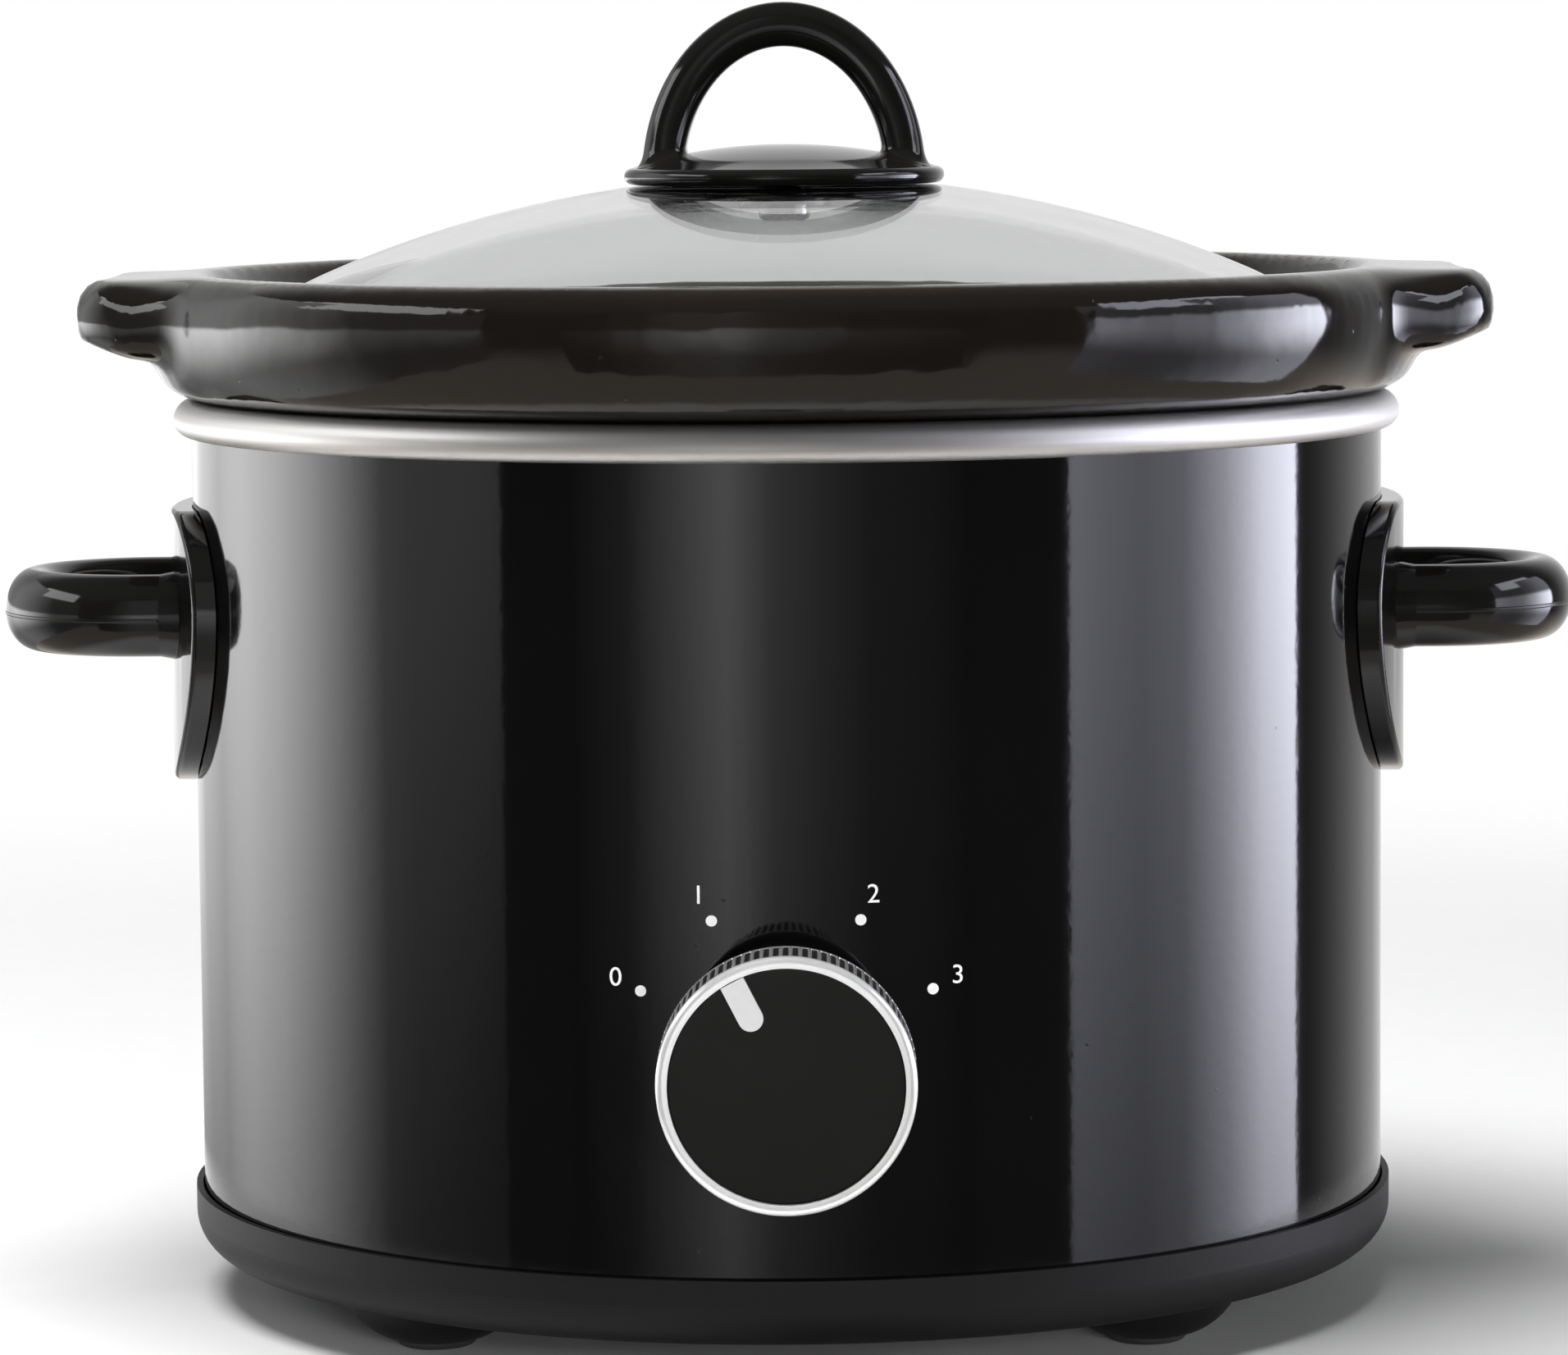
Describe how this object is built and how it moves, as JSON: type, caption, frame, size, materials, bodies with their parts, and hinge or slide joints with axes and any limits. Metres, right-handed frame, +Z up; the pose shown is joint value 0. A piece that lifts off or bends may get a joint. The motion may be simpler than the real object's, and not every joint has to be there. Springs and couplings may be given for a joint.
{
  "type": "slow cooker",
  "caption": "Round countertop slow cooker: black wrapped heater base with loop handles and a heat dial, lift-out glazed crock with ears, domed glass lid.",
  "frame": {"origin": "on the axis of the pot, in the plane that the feet stand on", "axes": "+Z up the axis of the pot, -Y out of the front where the dial is, +X to the viewer's right through the side handles"},
  "size_m": [0.2676, 0.229, 0.2183],
  "materials": {
    "shell_paint": "gloss black baked enamel",
    "rim_metal": "satin drawn aluminium",
    "base_plastic": "matt black moulding",
    "grip_plastic": "gloss black moulding",
    "crock_glaze": "gloss black glaze",
    "lid_glass": "clear tempered glass",
    "knob_plastic": "fine matt black moulding",
    "dial_gloss": "gloss black disc",
    "bezel_chrome": "bright plated, knurled",
    "pointer_silver": "satin",
    "foot_rubber": "matt rubber",
    "gasket_rubber": "silicone rubber",
    "plated_steel": "zinc plated",
    "lid_steel": "stainless",
    "spring_steel": "blued spring steel",
    "switch_case": "ivory moulding",
    "tab_brass": "bare brass",
    "element_cloth": "woven glass cloth",
    "fuse_metal": "drawn can",
    "lead_sleeve": "silicone sleeve",
    "gland_plastic": "matt black moulding"
  },
  "bodies": {
    "base": {"base_pan": "base_plastic", "foot_rear_right": "foot_rubber", "foot_rear_left": "foot_rubber", "foot_front_left": "foot_rubber", "foot_front_right": "foot_rubber", "outer_shell": "shell_paint", "heating_well": "rim_metal", "handle_right": "grip_plastic", "handle_left": "grip_plastic", "handle_screws": "plated_steel", "handle_washers": "plated_steel", "switch_body": "switch_case", "switch_nut": "plated_steel", "switch_tabs": "tab_brass", "heating_band": "element_cloth", "band_strap": "plated_steel", "strap_screw": "plated_steel", "strap_nut": "plated_steel", "center_stud": "plated_steel", "stud_washer": "plated_steel", "stud_nut": "plated_steel", "thermal_fuse": "fuse_metal", "fuse_clip": "spring_steel", "lead_low": "lead_sleeve", "lead_high": "lead_sleeve", "lead_common": "lead_sleeve", "cord_gland": "gland_plastic", "gland_nut": "gland_plastic"},
    "knob": {"knob_body": "knob_plastic", "knob_ring": "bezel_chrome", "knob_face": "dial_gloss", "knob_pointer": "pointer_silver", "knob_clip": "spring_steel", "switch_shaft": "plated_steel"},
    "crock": {"crock": "crock_glaze"},
    "lid": {"lid_glass": "lid_glass", "lid_handle": "grip_plastic", "lid_gasket": "gasket_rubber", "lid_washer": "lid_steel", "lid_screw": "lid_steel"}
  },
  "joints": [
    {"name": "knob_turn", "type": "hinge", "parent": "base", "child": "knob", "pos_m": [0, -0.101, 0.0523], "axis": [0, 1, 0], "range_deg": [-36, 90]},
    {"name": "crock_lift", "type": "slide", "parent": "base", "child": "crock", "axis": [0, 0, 1], "range_m": [0, 0.12]},
    {"name": "lid_lift", "type": "slide", "parent": "crock", "child": "lid", "axis": [0, 0, 1], "range_m": [0, 0.06]}
  ]
}
